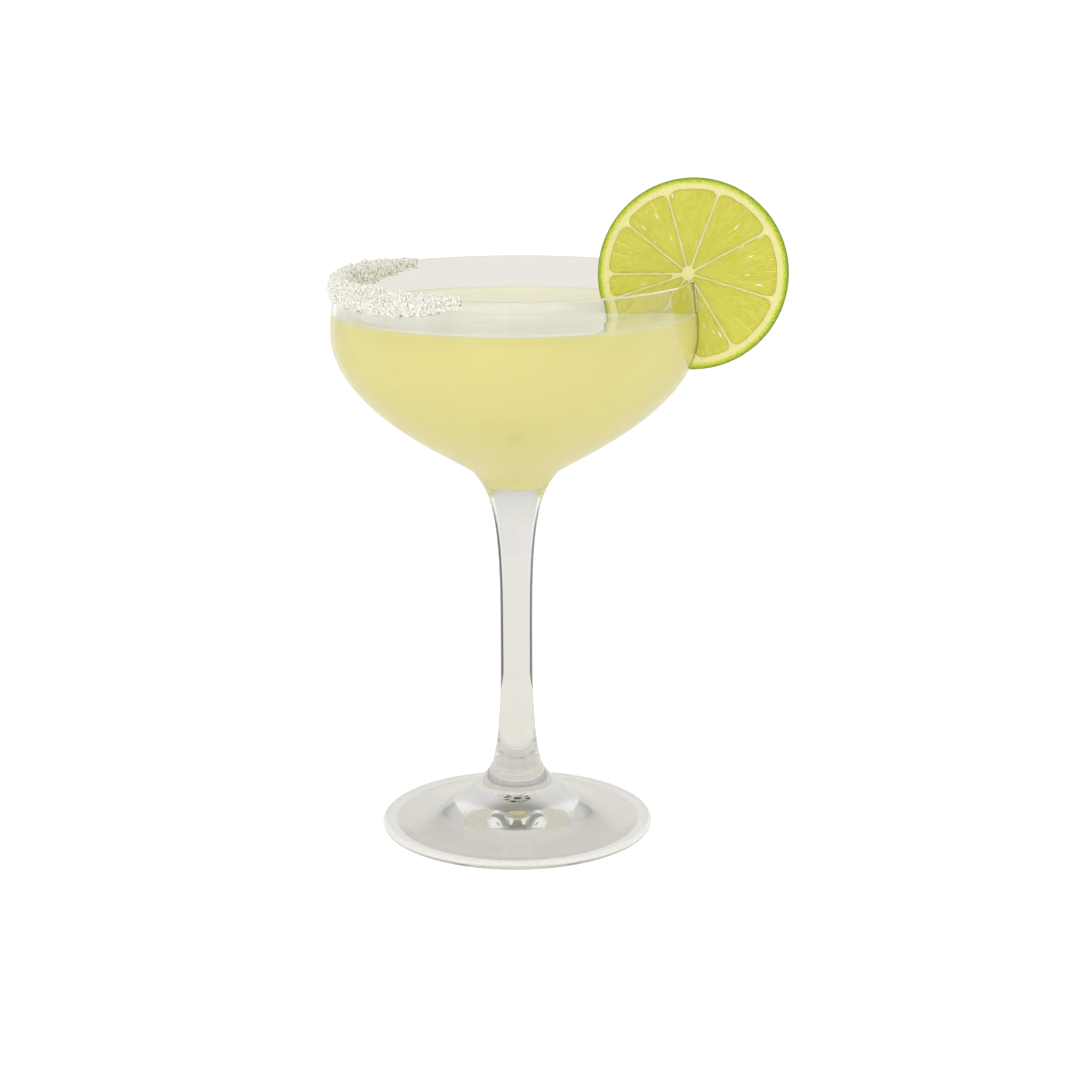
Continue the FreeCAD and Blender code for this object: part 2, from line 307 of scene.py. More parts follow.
dark_card("card_left", -0.10, 0.04, 0.15, 0.05)
dark_card("card_right", 0.10, 0.035, 0.17, 0.0)


# %% Hang a soft lamp that points at the bowl
LAMP_PLACE = Vector((-0.35, -0.9, 0.3))
LAMP_AIM = Vector((0, 0, 0.12))
LAMP_SIZE = (0.6, 0.5)
LAMP_POWER = 0.5
lamp_data = bpy.data.lights.new("softbox", "AREA")
lamp_data.shape = "RECTANGLE"
lamp_data.size, lamp_data.size_y = LAMP_SIZE
lamp_data.energy = LAMP_POWER
lamp = bpy.data.objects.new("softbox", lamp_data)
bpy.context.scene.collection.objects.link(lamp)
lamp.location = LAMP_PLACE
lamp.visible_glossy = False
lamp.rotation_euler = (LAMP_AIM - LAMP_PLACE).to_track_quat("-Z", "Y").to_euler()
print("lamp:", lamp.name, LAMP_POWER, "W")

# %% [markdown]
# ## The glass
#
# The glass is one turned piece. The CAD node is made of flat facets, and clear glass shows every
# facet as a kink in what is behind it. So its outline is cut out of the node with two bisects, and
# spun again in many more steps. The sizes stay the node's own.

# %% Cut the outline out of a turned node and spin it
SPIN_STEPS = 180
OUTLINE_MERGE = 0.02 * MM
SEAM_MERGE = 0.005 * MM
SOFT_EDGE = math.radians(35)


def respun(node, name, side):
    """A turned node made again from its outline on one side of the axis (+1 or -1 along X)."""
    piece = copy_of(node, name)
    bpy.ops.object.mode_set(mode="EDIT")
    bpy.ops.mesh.select_all(action="SELECT")
    bpy.ops.mesh.bisect(plane_co=(0, 0, 0), plane_no=(0, 1, 0), clear_inner=True, clear_outer=True)
    bpy.ops.mesh.select_all(action="SELECT")
    bpy.ops.mesh.bisect(plane_co=(0, 0, 0), plane_no=(side, 0, 0), clear_inner=True)
    bpy.ops.mesh.select_all(action="SELECT")
    bpy.ops.mesh.remove_doubles(threshold=OUTLINE_MERGE)
    bpy.ops.object.mode_set(mode="OBJECT")
    points = len(piece.data.vertices)
    bpy.ops.object.mode_set(mode="EDIT")
    bpy.ops.mesh.select_all(action="SELECT")
    bpy.ops.mesh.spin(steps=SPIN_STEPS, angle=2 * math.pi, center=(0, 0, 0), axis=(0, 0, 1))
    bpy.ops.mesh.select_all(action="SELECT")
    bpy.ops.mesh.remove_doubles(threshold=SEAM_MERGE)
    bpy.ops.mesh.normals_make_consistent(inside=False)
    bpy.ops.object.mode_set(mode="OBJECT")
    bpy.ops.object.shade_smooth_by_angle(angle=SOFT_EDGE)
    print(f"{name}: outline of {points} points, {len(piece.data.polygons)} faces")
    return piece


glass = respun("glass", "glass_clear", 1)
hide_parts("glass")
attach(glass, "root")

# %% [markdown]
# The glass is clear, and a thin absorption makes its thick parts a little grey. Two kinds of ray
# go straight through instead of bending: shadow rays, so that light reaches the drink, and rays
# that have been mirrored several times, which would otherwise be given up and turn black.

# %% Give the glass its clear, faintly grey finish
GLASS_TINT = (0.98, 0.98, 0.972, 1)
SHADOW_TINT = (0.97, 0.97, 0.96, 1)
GLASS_DEPTH_COLOUR = (0.30, 0.28, 0.20, 1)
GLASS_DEPTH_DENSITY = 5.0
MIRRORS_FOLLOWED = 2.5
clear_glass = finish("clear glass", Base_Color=GLASS_TINT, Roughness=0.0, IOR=1.5,
                     Transmission_Weight=1.0)
tree = clear_glass.node_tree
absorb = add(tree, "VolumeAbsorption", Color=GLASS_DEPTH_COLOUR, Density=GLASS_DEPTH_DENSITY)
straight = add(tree, "BsdfTransparent", Color=SHADOW_TINT)
ray = add(tree, "LightPath")
deep = combine(tree, "GREATER_THAN", (ray, "Glossy Depth"), MIRRORS_FOLLOWED)
either = combine(tree, "MAXIMUM", (ray, "Is Shadow Ray"), (deep, "Value"))
choose = add(tree, "MixShader")
output = tree.nodes["Material Output"]
wire(tree, (either, "Value", choose, "Fac"), (tree.nodes["Principled BSDF"], "BSDF", choose, 1),
     (straight, "BSDF", choose, 2), (choose, "Shader", output, "Surface"),
     (absorb, "Volume", output, "Volume"))
glass.data.materials.append(clear_glass)
print("glass finish:", [n.name for n in tree.nodes])

# %% [markdown]
# ## The drink
#
# The drink's side has to reach a little into the glass's wall. If it stopped at the wall, a film
# of air would show as a silver skin. Its outline is taken on the side away from the lime.

# %% Spin the drink and push its side into the wall
INTO_WALL = 0.15 * MM
drink = respun("drink", "drink_cloudy", -1)
hold(drink)
select_where(drink, lambda co: True)
bpy.ops.transform.shrink_fatten(value=INTO_WALL)
bpy.ops.object.mode_set(mode="OBJECT")

# %% Raise its edge a little, where the drink climbs the glass
MENISCUS_RINGS = ((0.35 * MM, 0.55 * MM), (0.6 * MM, 0.2 * MM))
SAME_PLACE = 0.01 * MM
MENISCUS_SOFT_EDGE = math.radians(50)
top = max(v.co.z for v in drink.data.vertices)
bpy.ops.object.mode_set(mode="EDIT")
bpy.ops.mesh.select_mode(type="FACE")
bpy.ops.mesh.select_all(action="DESELECT")
bpy.ops.object.mode_set(mode="OBJECT")
for face in drink.data.polygons:
    face.select = all(abs(drink.data.vertices[i].co.z - top) < SAME_PLACE for i in face.vertices)
for width, rise in MENISCUS_RINGS:
    rim = max(math.hypot(*drink.data.vertices[i].co.xy) for f in drink.data.polygons if f.select
              for i in f.vertices)
    bpy.ops.object.mode_set(mode="EDIT")
    bpy.ops.mesh.inset(thickness=width, use_boundary=True)
    bpy.ops.object.mode_set(mode="OBJECT")
    for vertex in drink.data.vertices:
        if abs(vertex.co.z - top) < SAME_PLACE and math.hypot(*vertex.co.xy) > rim - SAME_PLACE:
            vertex.co.z += rise
hold(drink)
bpy.ops.object.shade_smooth_by_angle(angle=MENISCUS_SOFT_EDGE)
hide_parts("drink")
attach(drink, "root")
print("drink: top at", round(top / MM, 2), "mm,", len(drink.data.polygons), "faces")

# %% [markdown]
# Lime juice makes the drink cloudy: light enters it, scatters a few millimetres and comes out
# again, which is what subsurface does. Its top is painted paler than its body: a painted reflection
# that stands for the room's light mirrored on the surface.

# %% Finish the drink: cloudy, with a painted reflection on its paler wet top
DRINK_COLOUR = (0.955, 0.88, 0.385, 1)
# The paler top colour is a painted reflection: it stands for the room's light mirrored on the
# drink's surface.
PAINTED_SHEEN_COLOUR = (0.93, 0.90, 0.68, 1)
PAINTED_SHEEN_DEPTH = 0.6 * MM
CLOUD_DEPTH = 2.0 * MM
cloudy = finish("cloudy drink", Roughness=0.04, IOR=1.34, Subsurface_Weight=0.3,
                Subsurface_Radius=(1.0, 1.0, 0.5), Subsurface_Scale=CLOUD_DEPTH)
tree = cloudy.node_tree
place = add(tree, "TexCoord")
height = add(tree, "SeparateXYZ")
wire(tree, (place, "Object", height, 0))
# The top 0.6 mm is painted paler, as a painted reflection of the room.
painted_sheen = smooth_step(tree, height, "Z", DRINK_LEVEL - PAINTED_SHEEN_DEPTH, DRINK_LEVEL)
paler = mix_colours(tree, DRINK_COLOUR, PAINTED_SHEEN_COLOUR)
wire(tree, (painted_sheen, "Result", paler, MIX_SHARE),
     (paler, MIX_RESULT, tree.nodes["Principled BSDF"], "Base Color"))
drink.data.materials.append(cloudy)
print("drink finish:", cloudy.name)

# %% [markdown]
# ## The lime wheel: rind, pith, membranes and core
#
# A cut lime is ten juicy segments held in a white peel, with thin membranes between them that
# meet in a star. The peel is a disc with ten holes. Each hole's outline is a wedge with rounded
# corners, a little uneven, as fruit is, from a fixed seed. The wheel is made lying flat round the
# origin, where it is easy to shape, and is set on the rim at the end by one transform.

# %% Set the wheel's sizes and find its place on the rim
WHEEL_RADIUS = 26.2 * MM
WHEEL_THICKNESS = 5.0 * MM
RIND_BULGE = 0.25 * MM
PEEL_THICKNESS = 3.2 * MM
CORE = Vector((-1.15 * MM, 0, 0))
MEMBRANE_ANGLES = (29, 70, 106, 142, 181, 199, 237, 275, 302, 344)
MEMBRANE_THICKNESS = 0.5 * MM
WHEEL_RISE = 1.5 * MM
WHEEL_SWING = math.radians(-6.5)
WHEEL_TILT = math.radians(82)
wheel_middle = (wheel_low + wheel_high) / 2
wheel_middle.z = LIP_HEIGHT + WHEEL_RISE
wheel_turn = Matrix.Rotation(WHEEL_SWING, 4, "Z") @ Matrix.Rotation(WHEEL_TILT, 4, "X")
on_rim = Matrix.Translation(wheel_middle) @ wheel_turn
print("wheel's middle:", [round(v / MM, 2) for v in wheel_middle])

# %% Work out one segment's rounded, uneven outline
OUTER_ROUND = 1.9 * MM
TIP_ROUND = 0.55 * MM
UNEVEN = 0.16 * MM
UNEVEN_LENGTH = 2.5 * MM
OUTLINE_STEP = 0.8 * MM
UNEVEN_SEED = 7


def arc(middle, radius, start, end, steps):
    """Points on an arc, angles in radians."""
    return [middle + radius * Vector((math.cos(t), math.sin(t), 0))
            for t in (start + (end - start) * i / steps for i in range(steps + 1))]


def segment_outline(start, end, grow=0.0):
    """The rounded wedge between two membranes, grown sideways by `grow`."""
    flesh = WHEEL_RADIUS - PEEL_THICKNESS + grow
    first, last = math.radians(start), math.radians(end)
    half = (last - first) / 2
    middle = (first + last) / 2
    gap = MEMBRANE_THICKNESS / 2 - grow
    inward = Vector((math.cos(middle), math.sin(middle), 0))
    tip = CORE + (gap + TIP_ROUND) / math.sin(half) * inward
    corners = []
    for angle, way in ((first, 1), (last, -1)):
        along = Vector((math.cos(angle), math.sin(angle), 0))
        side = way * Vector((-math.sin(angle), math.cos(angle), 0))
        foot = CORE + side * (gap + OUTER_ROUND)
        reach = flesh - OUTER_ROUND
        b = foot.dot(along)
        corners.append(foot + along * (-b + math.sqrt(b * b - foot.dot(foot) + reach * reach)))
    out_first, out_last = (near + math.remainder(math.atan2(c.y, c.x) - near, 2 * math.pi)
                           for c, near in zip(corners, (first, last)))
    quarter = math.pi / 2
    points = arc(tip, TIP_ROUND, last + quarter, first + 3 * quarter, 5)
    points += arc(corners[0], OUTER_ROUND, first - quarter, out_first, 6)
    points += arc(Vector(), flesh, out_first, out_last, 14)[1:-1]
    points += arc(corners[1], OUTER_ROUND, out_last, last + quarter, 6)
    spaced = []
    for here, after in zip(points, points[1:] + points[:1]):
        pieces = max(1, round((after - here).length / OUTLINE_STEP))
        spaced += [here.lerp(after, i / pieces) for i in range(pieces)]
    flat = Vector((1, 1, 0))
    own = Vector((start, 0, 0))
    return [p + UNEVEN * (noise.noise_vector(p / UNEVEN_LENGTH + own) * flat) for p in spaced]


noise.seed_set(UNEVEN_SEED)
segments = list(zip(MEMBRANE_ANGLES, MEMBRANE_ANGLES[1:] + (MEMBRANE_ANGLES[0] + 360,)))
print("points in each segment:", [len(segment_outline(a, b)) for a, b in segments])


# %% Turn an outline into a slab, and cut one piece with another
def slab(name, outline, half):
    """A flat piece with this outline, from -half to +half."""
    mesh = bpy.data.meshes.new(name)
    mesh.from_pydata([(p.x, p.y, -half) for p in outline], [], [range(len(outline))])
    piece = bpy.data.objects.new(name, mesh)
    bpy.context.scene.collection.objects.link(piece)
    hold(piece)
    bpy.ops.object.mode_set(mode="EDIT")
    bpy.ops.mesh.select_all(action="SELECT")
    bpy.ops.mesh.extrude_region_move(TRANSFORM_OT_translate={"value": (0, 0, 2 * half)})
    bpy.ops.mesh.select_all(action="SELECT")
    bpy.ops.mesh.normals_make_consistent(inside=False)
    bpy.ops.object.mode_set(mode="OBJECT")
    return piece


def apply_modifier(piece, kind, **values):
    """Add a modifier with these values and apply it."""
    hold(piece)
    modifier = piece.modifiers.new(kind.lower(), kind)
    for key, value in values.items():
        setattr(modifier, key, value)
    bpy.ops.object.modifier_apply(modifier=modifier.name)


def cut(piece, tool):
    """Take the tool's space out of the piece."""
    apply_modifier(piece, "BOOLEAN", operation="DIFFERENCE", solver="EXACT", object=tool)


# %% Make the tool for the slit: the glass's wall, a hair thicker
SLIT_CLEARANCE = 0.15 * MM
SLIT_FROM_X = 0.035
slit = bpy.data.objects.new("slit", glass.data.copy())
bpy.context.scene.collection.objects.link(slit)
hold(slit)
select_where(slit, lambda co: True)
bpy.ops.transform.shrink_fatten(value=SLIT_CLEARANCE)
bpy.ops.mesh.select_all(action="SELECT")
bpy.ops.mesh.bisect(plane_co=(SLIT_FROM_X, 0, 0), plane_no=(1, 0, 0), clear_inner=True,
                    use_fill=True)
bpy.ops.object.mode_set(mode="OBJECT")
slit.data.transform(on_rim.inverted())
print("slit tool:", len(slit.data.polygons), "faces")

# %% Make the peel: a disc with a bulging rind and ten holes
RIND_STEPS = 240
RIND_ROWS = 7
RIND_CORNER = 0.5 * MM
CORNER_FROM = 0.7
PORE_DEPTH = 0.12 * MM
PORE_LENGTH = 0.9 * MM
HOLE_EDGE = 0.12 * MM
half = WHEEL_THICKNESS / 2
bpy.ops.object.select_all(action="DESELECT")
bpy.ops.mesh.primitive_cylinder_add(vertices=RIND_STEPS, radius=WHEEL_RADIUS - RIND_BULGE,
                                    depth=WHEEL_THICKNESS)
peel = bpy.context.object
peel.name = "lime_peel"
bpy.ops.object.mode_set(mode="EDIT")
bpy.ops.mesh.select_mode(type="EDGE")
bpy.ops.mesh.select_all(action="DESELECT")
bpy.ops.object.mode_set(mode="OBJECT")
for edge in peel.data.edges:
    low, high = (peel.data.vertices[i].co.z for i in edge.vertices)
    edge.select = abs(low - high) > half
bpy.ops.object.mode_set(mode="EDIT")
bpy.ops.mesh.subdivide(number_cuts=RIND_ROWS)
bpy.ops.object.mode_set(mode="OBJECT")
for vertex in peel.data.vertices:
    place = vertex.co
    out = Vector((place.x, place.y, 0)).normalized()
    level = place.z / half
    pores = max(0.0, noise.noise(place / PORE_LENGTH))
    past_corner = max(0.0, abs(level) - CORNER_FROM) / (1 - CORNER_FROM)
    bulge = RIND_BULGE * (1 - level * level)
    stand = bulge - RIND_CORNER * past_corner ** 2 - PORE_DEPTH * pores * (1 - abs(level))
    vertex.co = place + out * stand
for start, end in segments:
    hole = slab("hole", segment_outline(start, end), WHEEL_THICKNESS)
    cut(peel, hole)
    bpy.data.objects.remove(hole)
cut(peel, slit)
apply_modifier(peel, "BEVEL", width=HOLE_EDGE, segments=2, limit_method="ANGLE",
               angle_limit=math.radians(50))
hold(peel)
bpy.ops.object.shade_smooth_by_angle(angle=math.radians(40))
peel.data.transform(on_rim)
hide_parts("lime_wheel")
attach(peel, "root")
print("peel:", len(peel.data.polygons), "faces")

# %% [markdown]
# ## The lime's flesh
#
# Each segment is packed with long juice sacs that run out from the core. A slab of the segment's
# outline is remeshed into fine even faces, smoothed so its corners go soft, and then its faces
# are raised and lowered by a noise that is stretched along the spokes.

# %% Make the ten segments of flesh
FLESH_SUNK = 0.12 * MM
INTO_MEMBRANE = 0.18 * MM
FLESH_VOXEL = 0.33 * MM
SAC_RELIEF = 0.09 * MM
SLIT_SEGMENTS = (237, 275)


def sac_relief(place):
    """How far the flesh stands out here: fine and broad ridges that run along the spokes."""
    spoke = place - CORE
    angle = math.atan2(spoke.y, spoke.x)
    reach = spoke.length / MM
    fine = noise.noise(Vector((angle * 26, reach * 0.35, place.z * 300)))
    broad = noise.noise(Vector((angle * 6, reach * 0.12, place.z * 100 + 7)))
    return SAC_RELIEF * (fine + 0.8 * broad)


flesh_pieces = []
for number, (start, end) in enumerate(segments, 1):
    flesh = slab(f"lime_segment_{number:02d}", segment_outline(start, end, INTO_MEMBRANE),
                 WHEEL_THICKNESS / 2 - FLESH_SUNK)
    if start in SLIT_SEGMENTS:
        cut(flesh, slit)
    apply_modifier(flesh, "REMESH", mode="VOXEL", voxel_size=FLESH_VOXEL)
    apply_modifier(flesh, "SMOOTH", factor=0.5, iterations=3)
    for vertex in flesh.data.vertices:
        side = 1 if vertex.co.z > 0 else -1
        if abs(vertex.co.z) > WHEEL_THICKNESS / 4:
            vertex.co.z += side * sac_relief(vertex.co)
    hold(flesh)
    bpy.ops.object.shade_smooth()
    flesh.data.transform(on_rim)
    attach(flesh, "root")
    flesh_pieces.append(flesh)
bpy.data.objects.remove(slit)
print("flesh:", sum(len(p.data.polygons) for p in flesh_pieces), "faces in", len(flesh_pieces))

# %% [markdown]
# ## Finishes for the lime
#
# All the lime's patterns are drawn in the wheel's own plane, in millimetres, so a Mapping node
# first turns the place of a point back to where the wheel was modelled. A group called `patchy`
# is a soft uneven mask that both finishes share.

# %% Draw the patchy mask and the wheel's own plane
patchy = bpy.data.node_groups.new("patchy", "ShaderNodeTree")
patchy.interface.new_socket("Vector", in_out="INPUT", socket_type="NodeSocketVector")
for socket in ("Scale", "Low", "High"):
    patchy.interface.new_socket(socket, in_out="INPUT", socket_type="NodeSocketFloat")
patchy.interface.new_socket("Mask", in_out="OUTPUT", socket_type="NodeSocketFloat")
patchy_in = patchy.nodes.new("NodeGroupInput")
patchy_out = patchy.nodes.new("NodeGroupOutput")
patchy_noise = add(patchy, "TexNoise", Detail=4.0, Roughness=0.6)
patchy_range = add(patchy, "MapRange", interpolation_type="SMOOTHSTEP")
wire(patchy, (patchy_in, "Vector", patchy_noise, "Vector"),
     (patchy_in, "Scale", patchy_noise, "Scale"), (patchy_noise, "Fac", patchy_range, "Value"),
     (patchy_in, "Low", patchy_range, "From Min"), (patchy_in, "High", patchy_range, "From Max"),
     (patchy_range, "Result", patchy_out, "Mask"))


def add_patchy(tree, scale, low, high):
    """A patchy mask with its own scale and limits."""
    node = tree.nodes.new("ShaderNodeGroup")
    node.node_tree = patchy
    node.inputs["Scale"].default_value = scale
    node.inputs["Low"].default_value = low
    node.inputs["High"].default_value = high
    return node


def wheel_plane(tree):
    """Object coordinates turned back into the wheel's flat plane, in millimetres."""
    place = add(tree, "TexCoord")
    back = on_rim.inverted()
    flat = add(tree, "Mapping", Rotation=back.to_euler(), Location=back.translation / MM,
               Scale=(1 / MM, 1 / MM, 1 / MM))
    wire(tree, (place, "Object", flat, "Vector"))
    return flat


def ramp(tree, *stops):
    """A colour ramp from (position, colour) stops."""
    node = tree.nodes.new("ShaderNodeValToRGB")
    elements = node.color_ramp.elements
    while len(elements) < len(stops):
        elements.new(0.5)
    for element, (position, colour) in zip(elements, stops):
        element.position = position
        element.color = colour
    return node


print("shared mask:", patchy.name)

# %% Finish the peel: green rind outside, pale pith inside
RIND_COLOURS = ((0.0, shade(237, 229, 162)), (0.38, shade(235, 227, 156)),
                (0.60, shade(208, 208, 84)), (0.76, shade(168, 186, 24)),
                (0.93, shade(126, 158, 8)), (1.0, shade(58, 84, 6)))
PITH_REACH, RIND_REACH = 23.0, 26.3
RAGGED = 1.5
DOT_TINT = (0.86, 0.93, 0.80, 1)
PEEL_GLOW_DEPTH = 2.0 * MM
peel_finish = finish("lime peel", Roughness=0.5, Specular_IOR_Level=0.3, IOR=1.4,
                     Subsurface_Weight=0.3, Subsurface_Radius=(1.0, 1.0, 0.4),
                     Subsurface_Scale=PEEL_GLOW_DEPTH)
tree = peel_finish.node_tree
skin = tree.nodes["Principled BSDF"]
flat = wheel_plane(tree)
split = add(tree, "SeparateXYZ")
level = add(tree, "CombineXYZ")
reach = add(tree, "VectorMath", operation="LENGTH")
ragged = add(tree, "TexNoise", Scale=1.9, Detail=5.0, Roughness=0.75)
spread = add(tree, "MapRange", To_Min=-RAGGED, To_Max=RAGGED)
wire(tree, (flat, "Vector", split, "Vector"), (split, "X", level, "X"), (split, "Y", level, "Y"),
     (level, "Vector", reach, 0), (flat, "Vector", ragged, "Vector"),
     (ragged, "Fac", spread, "Value"))
edge = combine(tree, "ADD", (reach, "Value"), (spread, "Result"))
band = add(tree, "MapRange", From_Min=PITH_REACH, From_Max=RIND_REACH)
colours = ramp(tree, *RIND_COLOURS)
dots = add_patchy(tree, 2.6, 0.35, 0.7)
dotted = mix_colours(tree, None, DOT_TINT, blend_type="MULTIPLY")
pores = add(tree, "TexVoronoi", Scale=1.1)
dimple = add(tree, "Bump", Strength=0.35, Distance=0.2 * MM)
wire(tree, (edge, "Value", band, "Value"), (band, "Result", colours, "Fac"),
     (flat, "Vector", dots, "Vector"), (dots, "Mask", dotted, MIX_SHARE),
     (colours, "Color", dotted, MIX_FIRST), (dotted, MIX_RESULT, skin, "Base Color"),
     (flat, "Vector", pores, "Vector"), (pores, "Distance", dimple, "Height"),
     (dimple, "Normal", skin, "Normal"))
peel.data.materials.append(peel_finish)
print("peel finish:", len(tree.nodes), "nodes")

# %% [markdown]
# The flesh's patterns are drawn over the angle round the core and the distance from it, so that
# everything runs along the spokes: fine sacs, pale fibres, broad deeper patches and small painted
# highlights, near-white spots that stand for lamps mirrored on wet sacs. A few membranes that start
# only half way out are drawn in as pale lines.

# %% Turn the wheel's plane into angle and distance for the flesh
JUICE_GLOW_DEPTH = 2.2 * MM
flesh_finish = finish("lime flesh", Roughness=0.22, IOR=1.36, Coat_Weight=0.4,
                      Coat_Roughness=0.08, Subsurface_Weight=0.6,
                      Subsurface_Radius=(1.0, 1.0, 0.4), Subsurface_Scale=JUICE_GLOW_DEPTH)
tree = flesh_finish.node_tree
flat = wheel_plane(tree)
from_core = add(tree, "VectorMath", operation="SUBTRACT")
from_core.inputs[1].default_value = CORE / MM
split = add(tree, "SeparateXYZ")
wire(tree, (flat, "Vector", from_core, 0), (from_core, "Vector", split, "Vector"))
angle = combine(tree, "ARCTAN2", (split, "Y"), (split, "X"))
length = add(tree, "VectorMath", operation="LENGTH")
spokes = add(tree, "CombineXYZ")
wire(tree, (from_core, "Vector", length, 0), (angle, "Value", spokes, "X"),
     (length, "Value", spokes, "Y"), (split, "Z", spokes, "Z"))


def along_spokes(across, outward, deep):
    """The spokes' coordinates stretched: cells per radian, per mm outward and per mm deep."""
    stretch = add(tree, "Mapping", Scale=(across, outward, deep))
    wire(tree, (spokes, "Vector", stretch, "Vector"))
    return stretch


# %% Draw sacs, fibres, painted highlights and half membranes
sacs = add(tree, "TexVoronoi", feature="DISTANCE_TO_EDGE", Scale=1.0)
fibres = add_patchy(tree, 1.0, 0.42, 0.72)
depth = add_patchy(tree, 1.0, 0.3, 0.7)
# Painted highlights: sparse near-white spots in the base colour, stretched along the spokes, stand
# for lamps mirrored on wet juice sacs.
highlight_spots = add(tree, "TexVoronoi", Scale=1.0, Randomness=0.9)
pick = add(tree, "SeparateColor")
wire(tree, (along_spokes(24, 0.30, 0.4), "Vector", sacs, "Vector"),
     (along_spokes(34, 0.22, 0.4), "Vector", fibres, "Vector"),
     (along_spokes(5, 0.16, 0.2), "Vector", depth, "Vector"),
     (along_spokes(16, 0.14, 0.2), "Vector", highlight_spots, "Vector"), (highlight_spots, "Color", pick, "Color"))
threads = smooth_step(tree, sacs, "Distance", 0.0, 0.09, 0.55, 0.0)
near_highlight_spot = smooth_step(tree, highlight_spots, "Distance", 0.10, 0.16, 1.0, 0.0)
picked_for_highlight = smooth_step(tree, pick, "Red", 0.48, 0.54)
painted_highlights = combine(tree, "MULTIPLY", (near_highlight_spot, "Result"), (picked_for_highlight, "Result"))
HALF_MEMBRANES = ((119, 17.5), (157, 17.0), (165.5, 16.5), (213, 17.5), (2, 20.5), (318, 19.0))
pale = threads
pale_output = "Result"
for direction, starts in HALF_MEMBRANES:
    turned = combine(tree, "SUBTRACT", (angle, "Value"),
                     math.remainder(math.radians(direction), 2 * math.pi))
    away = combine(tree, "ABSOLUTE", (turned, "Value"), 0.0)
    sideways = combine(tree, "MULTIPLY", (away, "Value"), (length, "Value"))
    line = smooth_step(tree, sideways, "Value", 0.08, 0.3, 1.0, 0.0)
    beyond = smooth_step(tree, length, "Value", starts - 1.5, starts + 2.5)
    notch = combine(tree, "MULTIPLY", (line, "Result"), (beyond, "Result"))
    pale = combine(tree, "MAXIMUM", (pale, pale_output), (notch, "Value"))
    pale_output = "Value"
print("patterns in the flesh:", len(tree.nodes), "nodes")

# %% Colour the flesh: deep juice, then fibres, threads and painted highlights
JUICE_DEEP, JUICE_PALE = shade(196, 192, 42), shade(206, 202, 60)
FIBRE_COLOUR = shade(218, 214, 100)
THREAD_COLOUR = shade(220, 216, 108)
# The last colour is a painted highlight: near-white spots that stand for lamps mirrored on wet sacs.
PAINTED_HIGHLIGHT_COLOUR = shade(253, 252, 235)
FIBRE_SHARE = 0.5
juice = tree.nodes["Principled BSDF"]
soft_fibres = combine(tree, "MULTIPLY", (fibres, "Mask"), FIBRE_SHARE)
coloured = mix_colours(tree, JUICE_DEEP, JUICE_PALE)
wire(tree, (depth, "Mask", coloured, MIX_SHARE))
for mask, output, colour in ((soft_fibres, "Value", FIBRE_COLOUR), (pale, "Value", THREAD_COLOUR),
                             (painted_highlights, "Value", PAINTED_HIGHLIGHT_COLOUR)):
    layer = mix_colours(tree, None, colour)
    wire(tree, (mask, output, layer, MIX_SHARE), (coloured, MIX_RESULT, layer, MIX_FIRST))
    coloured = layer
ridges = add(tree, "Bump", Strength=0.5, Distance=0.1 * MM)
wire(tree, (coloured, MIX_RESULT, juice, "Base Color"), (sacs, "Distance", ridges, "Height"),
     (ridges, "Normal", juice, "Normal"))
for flesh in flesh_pieces:
    flesh.data.materials.append(flesh_finish)
print("flesh finish:", len(tree.nodes), "nodes")

# %% [markdown]
# ## Salt on the rim
#
# The crust is thousands of small cubes that lie as they fell. Each kind of crystal is modelled
# once and copied over the crust's outline with its own size and turn. A thinner core of the same
# salt fills the gaps between them, so that the glass doesn't show through.

# %% Model three crystals
def crystal(name, sizes, bevel, chips):
    """A small block 1 long, bevelled, with corners chipped off by bisects."""
    bpy.ops.object.select_all(action="DESELECT")
    bpy.ops.mesh.primitive_cube_add(size=1)
    piece = bpy.context.object
    piece.name = name
    bpy.ops.object.mode_set(mode="EDIT")
    bpy.ops.transform.resize(value=sizes)
    if bevel:
        bpy.ops.mesh.bevel(offset=bevel, segments=1, affect="EDGES")
    for direction, distance in chips:
        bpy.ops.mesh.select_all(action="SELECT")
        way = Vector(direction).normalized()
        bpy.ops.mesh.bisect(plane_co=way * distance, plane_no=way, clear_outer=True, use_fill=True)
    bpy.ops.mesh.select_all(action="SELECT")
    bpy.ops.mesh.normals_make_consistent(inside=False)
    bpy.ops.object.mode_set(mode="OBJECT")
    return piece


crystals = [
    crystal("grain", (1.0, 0.85, 0.75), 0, [((1, 1, 1), 0.55), ((-1, 0.4, -1), 0.52)]),
    crystal("cube", (0.9, 0.9, 0.9), 0.1, []),
    crystal("flake", (1.3, 0.9, 0.4), 0, [((1, 0.7, 0.3), 0.55), ((-1, 1, -0.4), 0.55)]),
]
print("crystals:", {c.name: len(c.data.polygons) for c in crystals})

# %% Scatter them over the crust
CRYSTAL_COUNT = 6000
CRYSTAL_SIZES = (0.35 * MM, 0.95 * MM)
SINK = (-0.3 * MM, 0.35 * MM)
LARGE_SHARE = 0.06
LARGE_SIZE = 1.5
random.seed(7)
crust = copy_of("salt_rim", "crust")
crust.data.calc_loop_triangles()
corners = [[crust.data.vertices[i].co.copy() for i in t.vertices] for t in crust.data.loop_triangles]
outward = [t.normal.copy() for t in crust.data.loop_triangles]
areas = [t.area for t in crust.data.loop_triangles]


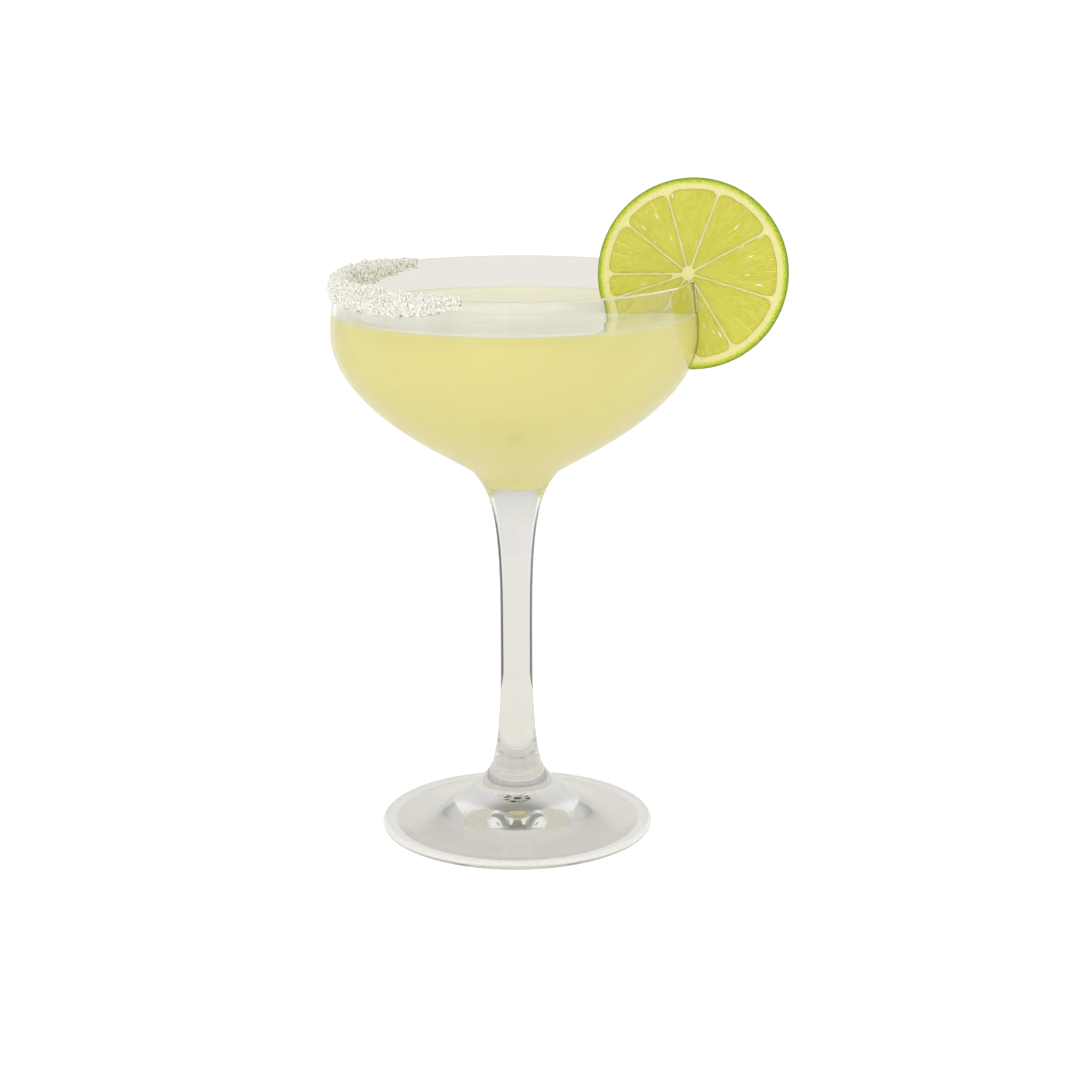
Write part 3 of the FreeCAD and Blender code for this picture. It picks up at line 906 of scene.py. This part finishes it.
def scatter(name, kinds, count):
    """One mesh of many crystals, each kind copied to random places on the crust."""
    points, faces = [], []
    shapes = [([v.co.copy() for v in k.data.vertices], [list(f.vertices) for f in k.data.polygons])
              for k in kinds]
    for pick in random.choices(range(len(areas)), weights=areas, k=count):
        a, b, c = corners[pick]
        u, v = random.random(), random.random()
        if u + v > 1:
            u, v = 1 - u, 1 - v
        size = random.uniform(*CRYSTAL_SIZES) * (LARGE_SIZE if random.random() < LARGE_SHARE else 1)
        place = a + (b - a) * u + (c - a) * v - outward[pick] * random.uniform(*SINK)
        spin = Euler([random.uniform(0, 2 * math.pi) for _ in range(3)]).to_matrix()
        shape_points, shape_faces = random.choice(shapes)
        first = len(points)
        points += [place + size * (spin @ p) for p in shape_points]
        faces += [[first + i for i in f] for f in shape_faces]
    mesh = bpy.data.meshes.new(name)
    mesh.from_pydata(points, [], faces)
    piece = bpy.data.objects.new(name, mesh)
    bpy.context.scene.collection.objects.link(piece)
    return piece


salt_pieces = [scatter("salt_grains", crystals[:2], CRYSTAL_COUNT * 2 // 3),
               scatter("salt_flakes", crystals[2:], CRYSTAL_COUNT // 3)]
for piece in crystals:
    bpy.data.objects.remove(piece)
print("crystal faces:", {p.name: len(p.data.polygons) for p in salt_pieces})

# %% Shrink the crust to a core under the crystals
CORE_SHRINK = 0.15 * MM
crust.name = "salt_core"
hold(crust)
select_where(crust, lambda co: True)
bpy.ops.transform.shrink_fatten(value=-CORE_SHRINK)
bpy.ops.object.mode_set(mode="OBJECT")
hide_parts("salt_rim")
for piece in [*salt_pieces, crust]:
    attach(piece, "root")
print("core:", len(crust.data.polygons), "faces")

# %% Finish the salt: milky crystals over a lumpy core
CRYSTAL_GLOW_DEPTH = 0.4 * MM
CORE_GLOW_DEPTH = 1.0 * MM
salt_finish = finish("salt crystals", Base_Color=shade(254, 251, 242), Roughness=0.22, IOR=1.54,
                     Subsurface_Weight=0.25, Subsurface_Radius=(1.0, 1.0, 0.9),
                     Subsurface_Scale=CRYSTAL_GLOW_DEPTH, Transmission_Weight=0.10)
core_finish = finish("packed salt", Base_Color=shade(253, 251, 243), Roughness=0.5,
                     Subsurface_Weight=0.5, Subsurface_Radius=(1.0, 1.0, 1.0),
                     Subsurface_Scale=CORE_GLOW_DEPTH)
tree = core_finish.node_tree
place = add(tree, "TexCoord")
rough = add(tree, "TexVoronoi", Scale=1400.0)
lumpy = add(tree, "Bump", Strength=1.0, Distance=0.4 * MM)
wire(tree, (place, "Object", rough, "Vector"), (rough, "Distance", lumpy, "Height"),
     (lumpy, "Normal", tree.nodes["Principled BSDF"], "Normal"))
for piece in salt_pieces:
    piece.data.materials.append(salt_finish)
crust.data.materials.append(core_finish)
print("salt finishes:", salt_finish.name, core_finish.name)
